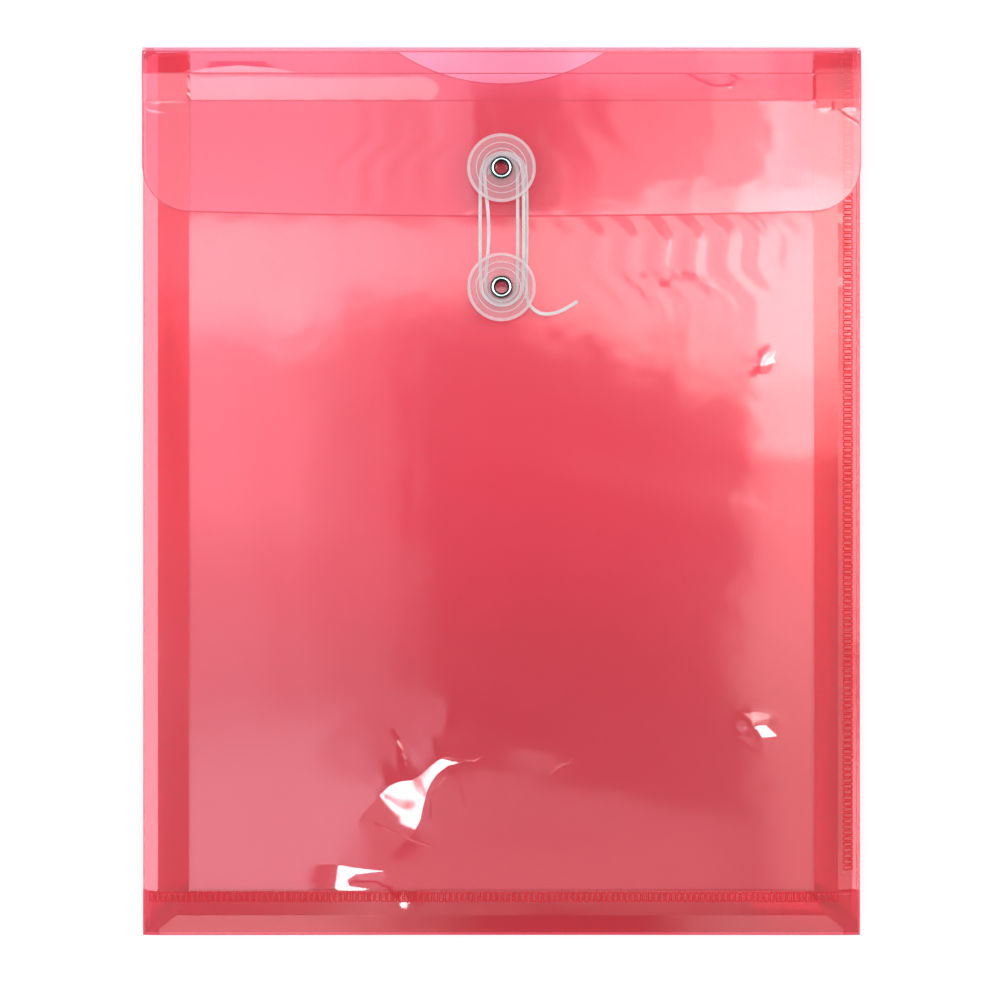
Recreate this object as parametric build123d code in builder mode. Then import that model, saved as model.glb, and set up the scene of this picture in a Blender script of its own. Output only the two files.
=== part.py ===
from build123d import *
import os
from math import asin, cos, pi, radians, sin, tan

# String tie envelope of translucent film, lying on its back. Sizes are in millimetres.
# +Z points out of the front, +Y towards the flap, and the origin is under the middle of the back panel.
# A real one is one sheet, folded and welded: here each panel between two creases is its own piece.

# Film and pocket
envelope_width = 241.3
envelope_height = 298.5
film = 0.2
pocket_gap = 6.4  # inside depth of the pocket as it lies, part filled with air
crease_offset = 0.15  # from a panel's face to the axis of the crease beside it
crease_start = 0.15  # from a crease's axis to the film that turns about it
fold_clearance = 0.3  # between the two leaves of a gusset at the fold they share
mitre_clearance = 0.3  # from the end of a leaf to the diagonal fold of the corner

# Gussets and side seam
side_leaf = 15.9
bottom_leaf = 15.3
seam_tab_width = 7.6
seam_tab_foot = 4.5  # from the bottom gusset to the lower end of the seam tab

# Front panel
front_drop = 1.7  # from the top fold down to the edge of the front panel
notch_width = 69.0
notch_depth = 10.4

# Flap
flap_length = 56.8
flap_sag = 2.0  # how far the lower edge bows between its corners
flap_corner_radius = 16.0
fold_radius = 0.8
fold_end_gap = 0.05
score_drops = (8.9, 18.0)  # from the top fold to each pressed line
score_width = 0.6
score_depth = 0.06
cut_overrun = 1.0

# Discs and eyelets
upper_disc_drop = 41.2  # from the top fold to the axis of each eyelet
lower_disc_drop = 80.9
disc_radius = 11.5
disc_plate = 1.0
hub_radius = 2.7
hub_height = 3.95
inner_ring_radius = 6.4
outer_ring_radius = 8.4
ring_step = 0.12
rim_bevel = 0.25
eyelet_bore_radius = 2.1
eyelet_wall = 0.25
flange_radius = 3.75
flange_height = 0.8
clinch_radius = 3.4
clinch_height = 0.35
washer_radius = 4.6
washer_thickness = 0.3
washer_bevel = 0.1
running_clearance = 0.05
hole_clearance = 0.1
clinch_clearance = 0.25  # from the upper eyelet's clinched end to the front panel

# String. A turn goes over the upper hub or under the lower one, from its left strand to its right strand:
# left x, right x, reach past the eyelet's axis and height over the film, in the order in which it is wound.
string_diameter = 1.2
string_sides = 8
low_layer = 1.2
high_layer = 2.8
string_start_drop = 1.8
winding_turns = [
    (-4.0, 5.3, 3.7, low_layer),
    (-5.4, 5.3, 4.5, low_layer),
    (-5.7, 7.2, 4.5, high_layer),
    (-6.9, 7.2, 5.9, high_layer),
    (-6.9, 8.3, 5.4, low_layer),
]
turn_radius_share = 0.46
slack_turn = 1  # the strand after this turn hangs slack
slack_x = -3.8
winding_end_rise = 1.0  # the free tail starts this far above the lower eyelet's axis
tail_lead = 2.5
# The free tail from the lower eyelet's axis: x, y and height over the front panel
tail_points = [
    (8.7, -4.2, 1.0),
    (9.9, -6.5, 0.85),
    (12.6, -8.5, 0.72),
    (15.7, -8.9, 0.65),
    (19.5, -8.0, 0.65),
    (22.6, -6.4, 0.65),
    (25.5, -4.55, 0.65),
]
bend_share = 0.45  # share of the shorter run that a free bend of the string takes up

# Places that follow from those sizes
half_width = envelope_width / 2
half_height = envelope_height / 2
front_bottom = film + pocket_gap
front_top = front_bottom + film
front_edge_y = half_height - front_drop
washer_room = running_clearance + washer_thickness + running_clearance
flap_bottom = front_top + clinch_clearance + clinch_height + washer_room
flap_top = flap_bottom + film
fold_centre_y = half_height - fold_radius
fold_centre_z = flap_top - fold_radius
upper_y = half_height - upper_disc_drop
lower_y = half_height - lower_disc_drop
seam_tab_y = -half_height + bottom_leaf + seam_tab_foot
barrel_radius = eyelet_bore_radius + eyelet_wall
film_hole_radius = barrel_radius + hole_clearance

os.makedirs("parts", exist_ok=True)


def write(piece, name):
    """Label a finished piece and write it to its own file."""
    piece.part.label = name
    export_step(piece.part, f"parts/{name}.step")


# Back panel: the plain sheet that the envelope lies on
with BuildPart() as back_panel:
    with BuildSketch():
        Rectangle(envelope_width, envelope_height)
    extrude(amount=film)
write(back_panel, "back_panel")

# Front panel, with the thumb notch in its open edge and the hole for the lower eyelet
with BuildPart() as front_panel:
    with BuildSketch(Plane.XY.offset(front_bottom)):
        with BuildLine():
            notch_left = (-notch_width / 2, front_edge_y)
            notch_right = (notch_width / 2, front_edge_y)
            Polyline(
                notch_left,
                (-half_width, front_edge_y),
                (-half_width, -half_height),
                (half_width, -half_height),
                (half_width, front_edge_y),
                notch_right,
            )
            ThreePointArc(notch_right, (0, front_edge_y - notch_depth), notch_left)
        make_face()
        with Locations((0, lower_y)):
            Circle(film_hole_radius, mode=Mode.SUBTRACT)
    extrude(amount=film)
write(front_panel, "front_panel")

# Side seam tab: the strip of the right gusset that is welded under the front panel's edge
with BuildPart() as side_seam_tab:
    with BuildSketch(Plane.XY.offset(front_bottom - film)):
        with Locations((half_width - seam_tab_width, seam_tab_y)):
            Rectangle(seam_tab_width, front_edge_y - seam_tab_y, align=Align.MIN)
    extrude(amount=film)
write(side_seam_tab, "side_seam_tab")


def leaf_plane(crease, inward, upward, gap, leaf):
    """Middle plane of a gusset leaf that slopes from its crease to the fold half way across the gap."""
    rise = (gap - fold_clearance - film) / 2 - crease_offset
    angle = asin(rise / leaf)
    along = Vector(*inward) * cos(angle) + Vector(0, 0, upward) * sin(angle)
    normal = Vector(0, 0, 1) * cos(angle) - Vector(*inward) * (upward * sin(angle))
    return Plane(origin=crease, x_dir=along, z_dir=normal)


def gusset_leaf(name, plane, leaf, low_end, high_end, low_mitre, high_mitre):
    """One leaf of a gusset. An end whose mitre is 1 is cut along the corner's diagonal, and 0 is square."""
    near = crease_start + mitre_clearance
    far = leaf + mitre_clearance
    with BuildPart() as leaf_piece:
        with BuildSketch(plane):
            with BuildLine():
                Polyline(
                    (crease_start, low_end + low_mitre * near),
                    (leaf, low_end + low_mitre * far),
                    (leaf, high_end - high_mitre * far),
                    (crease_start, high_end - high_mitre * near),
                    close=True,
                )
            make_face()
        extrude(amount=film / 2, both=True)
    write(leaf_piece, name)


# Gussets: a pair of leaves at the left, the right and the bottom, each hung from a panel's edge
seam_gap = pocket_gap - film
back_crease_z = film + crease_offset
front_crease_z = front_bottom - crease_offset
seam_crease_z = front_crease_z - film
to_right = (1, 0, 0)
to_left = (-1, 0, 0)
to_top = (0, 1, 0)
left_edge = -half_width
right_edge = half_width
bottom_edge = -half_height

for leaf_name, crease_z, upward in (("back_leaf", back_crease_z, 1), ("front_leaf", front_crease_z, -1)):
    left_plane = leaf_plane((left_edge, 0, crease_z), to_right, upward, pocket_gap, side_leaf)
    gusset_leaf(f"left_gusset_{leaf_name}", left_plane, side_leaf, bottom_edge, front_edge_y, 1, 0)
    bottom_plane = leaf_plane((0, bottom_edge, crease_z), to_top, upward, pocket_gap, bottom_leaf)
    gusset_leaf(f"bottom_gusset_{leaf_name}", bottom_plane, bottom_leaf, left_edge, right_edge, 1, 1)

for leaf_name, crease_z, upward in (("back_leaf", back_crease_z, 1), ("front_leaf", seam_crease_z, -1)):
    right_plane = leaf_plane((right_edge, 0, crease_z), to_left, upward, seam_gap, side_leaf)
    gusset_leaf(f"right_gusset_{leaf_name}", right_plane, side_leaf, -front_edge_y, half_height, 0, 1)

# Flap fold: the standing strip at the top of the back panel, and the round crease over it
with BuildPart() as flap_fold_wall:
    with BuildSketch(Plane.XZ.offset(-half_height)):
        with Locations((0, film + fold_end_gap)):
            Rectangle(
                envelope_width,
                fold_centre_z - film - 2 * fold_end_gap,
                align=(Align.CENTER, Align.MIN),
            )
    extrude(amount=film)
write(flap_fold_wall, "flap_fold_wall")

with BuildPart() as flap_fold_crease:
    with BuildSketch(Plane.YZ.offset(-half_width)):
        with BuildLine():
            outer = CenterArc((fold_centre_y, fold_centre_z), fold_radius, 0, 90)
            inner = CenterArc((fold_centre_y, fold_centre_z), fold_radius - film, 0, 90)
            Line(outer @ 0, inner @ 0)
            Line(outer @ 1, inner @ 1)
        make_face()
    extrude(amount=envelope_width)
write(flap_fold_crease, "flap_fold_crease")

# Flap panel, with round lower corners, a slightly bowed edge and two pressed fold lines
flap_side_y = half_height - flap_length + flap_sag
flap_start_y = fold_centre_y - crease_start
with BuildPart() as flap_panel:
    with BuildSketch(Plane.XY.offset(flap_bottom)) as flap_outline:
        with BuildLine():
            Polyline(
                (left_edge, flap_side_y),
                (left_edge, flap_start_y),
                (right_edge, flap_start_y),
                (right_edge, flap_side_y),
            )
            ThreePointArc((right_edge, flap_side_y), (0, half_height - flap_length), (left_edge, flap_side_y))
        make_face()
        fillet(flap_outline.vertices().group_by(Axis.Y)[0], radius=flap_corner_radius)
        with Locations((0, upper_y)):
            Circle(film_hole_radius, mode=Mode.SUBTRACT)
    extrude(amount=film)
    with BuildSketch(Plane.XY.offset(flap_top)):
        with Locations(*[(0, half_height - drop) for drop in score_drops]):
            Rectangle(envelope_width + 2 * cut_overrun, score_width)
    extrude(amount=-score_depth, mode=Mode.SUBTRACT)
write(flap_panel, "flap_panel")


def closure(name, axis_y, film_top):
    """One disc, the rolled eyelet that it turns on and the washer behind the film."""
    section = Plane(origin=(0, axis_y, film_top), x_dir=(1, 0, 0), z_dir=(0, -1, 0))
    eyelet_axis = Axis((0, axis_y, 0), (0, 0, 1))
    disc_bore = barrel_radius + running_clearance
    hub_base = running_clearance
    plate_base = hub_base + hub_height
    plate_top = plate_base + disc_plate
    middle_top = plate_top - ring_step
    outer_top = middle_top - ring_step
    rim_radius = disc_radius - rim_bevel

    with BuildPart() as disc:
        with BuildSketch(section):
            with BuildLine():
                Polyline(
                    (rim_radius, outer_top),
                    (outer_ring_radius, outer_top),
                    (outer_ring_radius, middle_top),
                    (inner_ring_radius, middle_top),
                    (inner_ring_radius, plate_top),
                    (disc_bore, plate_top),
                    (disc_bore, hub_base),
                    (hub_radius, hub_base),
                    (hub_radius, plate_base),
                    (rim_radius, plate_base),
                    (disc_radius, plate_base + rim_bevel),
                    (disc_radius, outer_top - rim_bevel),
                    close=True,
                )
            make_face()
        revolve(axis=eyelet_axis)
    write(disc, f"{name}_disc")

    flange_base = plate_top + running_clearance
    washer_base = -film - running_clearance - washer_thickness
    clinch_top = washer_base - running_clearance
    clinch_base = clinch_top - clinch_height
    with BuildPart() as eyelet:
        with BuildSketch(section):
            with BuildLine():
                Polyline(
                    (clinch_radius, clinch_top),
                    (barrel_radius, clinch_top),
                    (barrel_radius, flange_base),
                    (flange_radius, flange_base),
                )
                ThreePointArc(
                    (flange_radius, flange_base),
                    ((flange_radius + eyelet_bore_radius) / 2, flange_base + flange_height),
                    (eyelet_bore_radius, flange_base),
                )
                Polyline(
                    (eyelet_bore_radius, flange_base),
                    (eyelet_bore_radius, clinch_base),
                    (clinch_radius - clinch_height, clinch_base),
                    (clinch_radius, clinch_top),
                )
            make_face()
        revolve(axis=eyelet_axis)
    write(eyelet, f"{name}_eyelet")

    with BuildPart() as washer:
        with BuildSketch(Plane(origin=(0, axis_y, film_top + washer_base))):
            Circle(washer_radius)
            Circle(film_hole_radius, mode=Mode.SUBTRACT)
        extrude(amount=washer_thickness)
        lower_edges = washer.edges().group_by(Axis.Z)[0].sort_by(SortBy.RADIUS)
        chamfer(lower_edges[-1], length=washer_bevel)
    write(washer, f"{name}_washer")


closure("upper", upper_y, flap_top)
closure("lower", lower_y, front_top)


def bend_radius(before, corner, after):
    """Radius that spreads a bend of the string over most of the shorter of its two runs."""
    turn = radians((corner - before).get_angle(after - corner))
    shorter_run = min((corner - before).length, (after - corner).length)
    return bend_share * shorter_run / tan(turn / 2)


def least_gap(route_wire, samples=900):
    """Least clear distance between two stretches of the string, measured on points along it."""
    points = [route_wire.position_at(index / samples) for index in range(samples + 1)]
    step = route_wire.length / samples
    apart = int(pi * string_diameter / step) + 1
    nearest = min(
        (points[i] - points[j]).length for i in range(samples) for j in range(i + apart, samples + 1)
    )
    return nearest - string_diameter


def string_tube(name, route, radii):
    """A length of string swept along straight runs and tangent arcs."""
    with BuildPart() as tube:
        with BuildLine() as path:
            FilletPolyline(*route, radius=radii)
        route_wire = path.wires()[0]
        with BuildSketch(Plane(origin=route_wire @ 0, z_dir=route_wire % 0)) as section:
            RegularPolygon(radius=string_diameter / 2, side_count=string_sides)
        sweep(path=route_wire)
    write(tube, name)
    filled = tube.part.volume / (section.sketch.area * route_wire.length)
    print(f"{name}: length {route_wire.length:.1f} mm, volume {filled:.4f} of section times length")
    print(f"{name}: radii {', '.join(f'{radius:.1f}' for radius in radii)} mm")
    print(f"{name}: least gap to itself {least_gap(route_wire):.2f} mm")


# String winding: in turn over the upper hub and under the lower one, each turn two quarter bends
first_left, first_right, first_reach, first_lift = winding_turns[0]
winding_route = [Vector(first_left, upper_y - string_start_drop, flap_top + first_lift)]
winding_radii = []
for index, (left_x, right_x, reach, lift) in enumerate(winding_turns):
    if index % 2 == 0:
        turn_y = upper_y + reach
        turn_z = flap_top + lift
        turn_xs = (left_x, right_x)
    else:
        turn_y = lower_y - reach
        turn_z = front_top + lift
        turn_xs = (right_x, left_x)
    winding_route += [Vector(x, turn_y, turn_z) for x in turn_xs]
    winding_radii += [turn_radius_share * (right_x - left_x)] * 2
    if index == slack_turn:
        slack_z = (front_top + flap_top + low_layer + high_layer) / 2
        slack_corner = Vector(slack_x, (upper_y + lower_y) / 2, slack_z)
        next_left, next_right, next_reach, next_lift = winding_turns[index + 1]
        slack_end = Vector(next_left, upper_y + next_reach, flap_top + next_lift)
        winding_radii.append(bend_radius(winding_route[-1], slack_corner, slack_end))
        winding_route.append(slack_corner)

last_left, last_right, last_reach, last_lift = winding_turns[-1]
winding_end = Vector(last_right, lower_y + winding_end_rise, front_top + last_lift)
pull = (winding_end - winding_route[-1]).normalized()
winding_route.append(winding_end)
string_tube("string_winding", winding_route, winding_radii)

# Free tail: on from the last strand, down to the front panel and out to its cut end
tail_route = [winding_end, winding_end + pull * tail_lead]
tail_route += [Vector(x, lower_y + y, front_top + lift) for x, y, lift in tail_points]
tail_radii = [bend_radius(*tail_route[i - 1 : i + 2]) for i in range(1, len(tail_route) - 1)]
string_tube("string_tail", tail_route, tail_radii)
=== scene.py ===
import math

import bpy
import numpy as np
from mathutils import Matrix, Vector
from mathutils.geometry import delaunay_2d_cdt
from mathutils.kdtree import KDTree


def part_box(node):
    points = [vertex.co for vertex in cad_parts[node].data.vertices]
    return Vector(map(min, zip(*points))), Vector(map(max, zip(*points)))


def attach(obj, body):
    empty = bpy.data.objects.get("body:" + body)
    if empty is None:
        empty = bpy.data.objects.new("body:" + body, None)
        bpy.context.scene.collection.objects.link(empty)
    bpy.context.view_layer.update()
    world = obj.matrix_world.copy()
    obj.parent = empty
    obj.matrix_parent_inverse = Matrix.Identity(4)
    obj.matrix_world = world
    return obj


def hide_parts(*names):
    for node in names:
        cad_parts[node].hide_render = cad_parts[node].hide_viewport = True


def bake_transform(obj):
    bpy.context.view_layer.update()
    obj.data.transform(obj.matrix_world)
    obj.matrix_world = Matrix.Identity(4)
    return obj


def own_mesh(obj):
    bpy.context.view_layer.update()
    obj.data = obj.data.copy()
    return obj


# A translucent string tie envelope, lying on its back. Lengths are in millimetres until a mesh is made.
# +X is to the right, +Y towards the flap and +Z out of the front.

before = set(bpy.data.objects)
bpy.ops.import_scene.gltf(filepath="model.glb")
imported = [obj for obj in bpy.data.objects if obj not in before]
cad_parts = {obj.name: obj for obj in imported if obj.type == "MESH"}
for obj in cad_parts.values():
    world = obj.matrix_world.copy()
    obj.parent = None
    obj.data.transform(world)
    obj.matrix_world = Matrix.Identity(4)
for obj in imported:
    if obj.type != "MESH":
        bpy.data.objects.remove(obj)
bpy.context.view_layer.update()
MM = 0.001


def box_mm(node):
    """Lowest and highest corner of a CAD node, in millimetres."""
    low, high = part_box(node)
    return low / MM, high / MM


# Places taken from the frame
half_width, half_height, film = box_mm("back_panel")[1]
front_low, front_high = box_mm("front_panel")
flap_low, flap_high = box_mm("flap_panel")
tab_low, tab_high = box_mm("side_seam_tab")
wall_low, wall_high = box_mm("flap_fold_wall")
crease_low, crease_high = box_mm("flap_fold_crease")
upper_y, lower_y = (sum(v.y for v in box_mm(f"{name}_disc")) / 2 for name in ("upper", "lower"))
front_middle_z = (front_low.z + front_high.z) / 2
flap_middle_z = (flap_low.z + flap_high.z) / 2

# Film
notch_width = 69.0
notch_depth = 10.4
film_hole_radius = 2.45
flap_sag = 2.0
flap_corner_radius = 16.0
score_drops = (8.9, 18.0)
score_width = 0.34
edge_line_width = 0.35
side_leaf = 15.6
bottom_leaf = 15.0
film_gap = 0.15  # clear of the next film, so that no two faces share a place

# Welded seams: rows of pressed ovals
weld_long = 3.1
weld_short = 1.35
weld_pitch = 1.95
weld_wire = 0.42
side_weld_x = 116.5
bottom_weld_y = -136.3

# String, as wound on the model
low_layer = 1.2
high_layer = 2.8
winding_turns = [
    (-4.0, 5.3, 3.7, low_layer),
    (-5.4, 5.3, 4.5, low_layer),
    (-5.7, 7.2, 4.5, high_layer),
    (-6.9, 7.2, 5.9, high_layer),
    (-6.9, 8.3, 5.4, low_layer),
]
slack_turn = 1
slack_x = -3.8
string_start_drop = 1.8
winding_end_rise = 1.0
tail_lead = 2.5
tail_points = [
    (8.7, -4.2, 1.0),
    (9.9, -6.5, 0.85),
    (12.6, -8.5, 0.72),
    (15.7, -8.9, 0.65),
    (19.5, -8.0, 0.65),
    (22.6, -6.4, 0.65),
    (25.5, -4.55, 0.65),
]


# Small helpers


def smooth(start, end, value):
    """0 before start, 1 after end and an even slope at both."""
    share = np.clip((value - start) / (end - start), 0, 1)
    return share * share * (3 - 2 * share)


def new_piece(name, points, faces, materials, face_materials=None):
    """A mesh object from points in millimetres."""
    mesh = bpy.data.meshes.new(name)
    mesh.from_pydata([tuple(p) for p in np.asarray(points, float) * MM], [], faces)
    for material in materials:
        mesh.materials.append(material)
    if face_materials is not None:
        mesh.polygons.foreach_set("material_index", face_materials)
    mesh.polygons.foreach_set("use_smooth", [True] * len(mesh.polygons))
    mesh.update()
    piece = bpy.data.objects.new(name, mesh)
    bpy.context.scene.collection.objects.link(piece)
    return piece


def set_depth(piece, depth):
    """Keep how deep the colour looks at each point, painted shade included, for the film's shader."""
    attribute = piece.data.attributes.new("depth", "FLOAT", "POINT")
    attribute.data.foreach_set("value", np.full(len(attribute.data), depth, np.float32))


def dress(piece, body, slot, *nodes):
    """The piece moves with a body and stands for these CAD nodes."""
    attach(piece, body)
    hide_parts(*nodes)


def dress_across(piece, bodies, start, end, *nodes):
    """The film's place is baked into its mesh, and it stands for these CAD nodes. Its bodies and the two
    points are not used.
    """
    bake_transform(piece)
    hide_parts(*nodes)


def resample(points, step, closed):
    """Points about a step apart along a line, its corners kept."""
    points = [np.array(p, float) for p in points]
    ends = points[1:] + points[:1] if closed else points[1:]
    result = []
    for start, end in zip(points, ends):
        count = max(1, math.ceil(np.linalg.norm(end - start) / step))
        result += [start + (end - start) * i / count for i in range(count)]
    if not closed:
        result.append(points[-1])
    return np.array(result)


def inside(points, loop):
    """True for each point inside a closed loop."""
    x, y = points[:, :1], points[:, 1:]
    start, end = loop, np.roll(loop, -1, axis=0)
    crossing = (start[:, 1] > y) != (end[:, 1] > y)
    rise = np.where(end[:, 1] == start[:, 1], 1, end[:, 1] - start[:, 1])
    at = start[:, 0] + (y - start[:, 1]) * (end[:, 0] - start[:, 0]) / rise
    return (crossing & (x < at)).sum(1) % 2 == 1


def offset_loop(loop, distance):
    """A loop moved inwards by a distance. The loop runs anticlockwise round its film."""
    along = np.roll(loop, -1, axis=0) - np.roll(loop, 1, axis=0)
    along /= np.linalg.norm(along, axis=1)[:, None]
    return loop + distance * np.stack([-along[:, 1], along[:, 0]], axis=1)


def arc(centre, radius, start, end, count):
    """Points on an arc, angles in degrees."""
    angles = np.radians(np.linspace(start, end, count))
    return [(centre[0] + radius * math.cos(a), centre[1] + radius * math.sin(a)) for a in angles]


def rectangle(low_x, low_y, high_x, high_y):
    """Corners of a rectangle, anticlockwise."""
    return [(low_x, low_y), (high_x, low_y), (high_x, high_y), (low_x, high_y)]


def grid_faces(rows, columns, closed_rows=False, closed_columns=False, first=0):
    """Faces between the points of a grid, which are kept row by row. Rows and columns may close."""
    faces = []
    for row in range(rows if closed_rows else rows - 1):
        here, there = first + row * columns, first + (row + 1) % rows * columns
        for column in range(columns if closed_columns else columns - 1):
            beside = (column + 1) % columns
            faces.append((here + column, here + beside, there + beside, there + column))
    return faces


# Materials


def node_adder(tree):
    """A function that adds nodes to an emptied node tree."""
    tree.nodes.clear()

    def add(kind, values=None, links=None, **settings):
        node = tree.nodes.new("ShaderNode" + kind)
        for key, value in settings.items():
            setattr(node, key, value)
        for key, value in (values or {}).items():
            node.inputs[key].default_value = value
        for key, socket in (links or {}).items():
            tree.links.new(socket, node.inputs[key])
        return node

    return add


def new_material(name):
    """A material with an empty node tree, and a function that adds nodes to it."""
    material = bpy.data.materials.new(name)
    material.use_nodes = True
    return material, node_adder(material.node_tree)


def colour_ramp(add, factor, stops):
    """A colour ramp with stops of (place, linear colour)."""
    ramp = add("ValToRGB", links={"Fac": factor})
    while len(ramp.color_ramp.elements) < len(stops):
        ramp.color_ramp.elements.new(1.0)
    for element, (place, colour) in zip(ramp.color_ramp.elements, stops):
        element.position = place
        element.color = (*colour, 1)
    return ramp


def noise(add, scale, detail, distortion=0.0):
    """Cloudy noise that stays with the object."""
    place = add("TexCoord").outputs["Object"]
    values = {"Scale": scale, "Detail": detail, "Distortion": distortion}
    return add("TexNoise", values, {"Vector": place}).outputs["Fac"]


def bumps(add, height, strength, distance):
    """The normal of a surface that follows a height."""
    return add("Bump", {"Strength": strength, "Distance": distance}, {"Height": height}).outputs["Normal"]


def scaled_sum(add, value, factor, base):
    """A value times a factor, plus another value."""
    return add("Math", {1: factor}, {0: value, 2: base}, operation="MULTIPLY_ADD").outputs[0]


def mix(add, share, first, second):
    """Two shaders, mixed by a number or by a socket."""
    shaders = {1: first.outputs[0], 2: second.outputs[0]}
    if isinstance(share, bpy.types.NodeSocket):
        return add("MixShader", links={0: share, **shaders})
    return add("MixShader", {0: share}, shaders)


def show(add, shader):
    """Make a shader the material's surface."""
    add("OutputMaterial", links={"Surface": shader.outputs[0]})


def film_material(name, tints, milk, milk_share):
    """Glossy see-through film: its tint follows the depth kept on the mesh and a faint cloudiness."""
    material, add = new_material(name)
    depth = add("Attribute", attribute_name="depth").outputs["Fac"]
    tint = colour_ramp(add, scaled_sum(add, noise(add, 16, 3, 0.6), 0.1, depth), tints)
    normal = bumps(add, noise(add, 55, 2), 0.1, 0.0006)
    clear = add("BsdfTransparent", links={"Color": tint.outputs["Color"]})
    soft_gloss = add("BsdfGlossy", {"Color": (1, 1, 1, 1), "Roughness": 0.17}, {"Normal": normal})
    sharp_gloss = add("BsdfGlossy", {"Color": (1, 1, 1, 1), "Roughness": 0.04}, {"Normal": normal})
    gloss = mix(add, 0.7, soft_gloss, sharp_gloss)
    slant = add("LayerWeight", {"Blend": 0.5}, {"Normal": normal}).outputs["Facing"]
    steep = add("Math", {1: 5.0}, {0: slant}, operation="POWER").outputs[0]
    mirror = add("Math", {1: 0.96, 2: 0.04}, {0: steep}, operation="MULTIPLY_ADD").outputs[0]
    body = mix(add, mirror, clear, gloss)
    milky = add("BsdfDiffuse", {"Color": (*milk, 1)})
    film_body = mix(add, milk_share, body, milky)
    shade = add("BsdfTransparent", {"Color": (*film_shadow, 1)})
    lamp_ray = add("LightPath").outputs["Is Shadow Ray"]
    show(add, mix(add, lamp_ray, film_body, shade))
    return material


def disc_material():
    """Clear moulded plastic with a slight frost and flow marks."""
    material, add = new_material("clear_disc")
    flow = noise(add, 260, 3)
    normal = bumps(add, flow, 0.12, 0.0001)
    frost = add("MapRange", {"To Min": 0.2, "To Max": 0.42}, {"Value": flow})
    values = {"Base Color": (0.93, 0.83, 0.86, 1), "IOR": 1.5}
    solid = add("BsdfPrincipled", values, {"Roughness": frost.outputs[0], "Normal": normal})
    clear = add("BsdfTransparent", {"Color": (0.97, 0.95, 0.96, 1)})
    view = add("LayerWeight", {"Blend": 0.35}, {"Normal": normal})
    share = add("MapRange", {"To Min": 0.14, "To Max": 0.5}, {"Value": view.outputs["Facing"]})
    show(add, mix(add, share.outputs[0], clear, solid))
    return material


def rim_material():
    """Frosted white, for the moulded rim and rings of a disc."""
    material, add = new_material("frosted_rim")
    flow = noise(add, 500, 3)
    colour = colour_ramp(add, flow, [(0.3, (0.9, 0.8, 0.84)), (0.7, (0.98, 0.93, 0.95))])
    links = {"Base Color": colour.outputs[0], "Normal": bumps(add, flow, 0.15, 0.0001)}
    solid = add("BsdfPrincipled", {"Roughness": 0.35, "IOR": 1.5}, links)
    clear = add("BsdfTransparent", {"Color": (0.98, 0.95, 0.96, 1)})
    show(add, mix(add, 0.5, clear, solid))
    return material


def nickel_painted_sheen_material():
    """Plate with a painted sheen: a painted white highlight along the top of the roll and a painted dark
    teal reflection down its sides, with a little dulling.
    """
    material, add = new_material("nickel_plate_painted_sheen")
    dull = noise(add, 900, 4)
    rough = add("MapRange", {"To Min": 0.1, "To Max": 0.24}, {"Value": dull})
    # How far the surface faces up sets the painted highlight on top and the painted dark reflection down the
    # sides.
    level = add("SeparateXYZ", links={0: add("TexCoord").outputs["Normal"]}).outputs["Z"]
    stops = [
        (0.4, (0.004, 0.045, 0.04)),
        (0.9, (0.02, 0.11, 0.1)),
        (0.97, (0.09, 0.27, 0.24)),
        (1.0, (0.88, 0.94, 0.93)),
    ]
    colour = colour_ramp(add, scaled_sum(add, dull, 0.03, level), stops)
    normal = bumps(add, dull, 0.08, 0.00005)
    links = {"Base Color": colour.outputs[0], "Roughness": rough.outputs[0], "Normal": normal}
    show(add, add("BsdfPrincipled", {"Metallic": 1.0}, links))
    return material


def string_material(name, dark, light):
    """Soft spun yarn between two shades."""
    material, add = new_material(name)
    fibre = noise(add, 2600, 4)
    soil = noise(add, 120, 2)
    colour = colour_ramp(add, scaled_sum(add, fibre, 0.5, soil), [(0.4, dark), (0.85, light)])
    values = {"Roughness": 0.8, "Sheen Weight": 0.3, "Specular IOR Level": 0.2}
    links = {"Base Color": colour.outputs[0], "Normal": bumps(add, fibre, 0.4, 0.00008)}
    show(add, add("BsdfPrincipled", values, links))
    return material


film_shadow = (0.985, 0.955, 0.96)
# The deeper stops also carry the painted shade that darkens the large sheets towards the bottom.
panel_tints = [
    (0.0, (1, 0.86, 0.93)),
    (0.6, (0.96, 0.55, 0.635)),
    (0.78, (0.95, 0.5, 0.565)),
    (1.0, (0.885, 0.48, 0.525)),
]
edge_tints = [(0.0, (0.95, 0.46, 0.54)), (1.0, (0.9, 0.3, 0.38))]
fold_tints = [(0.0, (1, 0.92, 0.94)), (1.0, (0.97, 0.7, 0.78))]
weld_tints = [(0.0, (0.97, 0.28, 0.32)), (1.0, (0.94, 0.11, 0.15))]
panel_film = film_material("panel_film", panel_tints, (0.9, 0.3, 0.42), 0.03)
edge_film = film_material("film_edge", edge_tints, (0.8, 0.12, 0.18), 0.5)
fold_film = film_material("fold_film", fold_tints, (0.95, 0.7, 0.76), 0.03)
weld_film = film_material("weld_film", weld_tints, (0.8, 0.035, 0.05), 0.6)
disc_plastic = disc_material()
disc_rim = rim_material()
painted_sheen_nickel = nickel_painted_sheen_material()
yarn = string_material("white_yarn", (0.8, 0.72, 0.72), (0.95, 0.91, 0.91))
# The string's core is coloured darker: painted shade seen in the gaps between the yarns.
core_yarn_painted_shade = string_material("string_core_painted_shade", (0.46, 0.36, 0.37), (0.6, 0.5, 0.51))


# Film sheets


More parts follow.
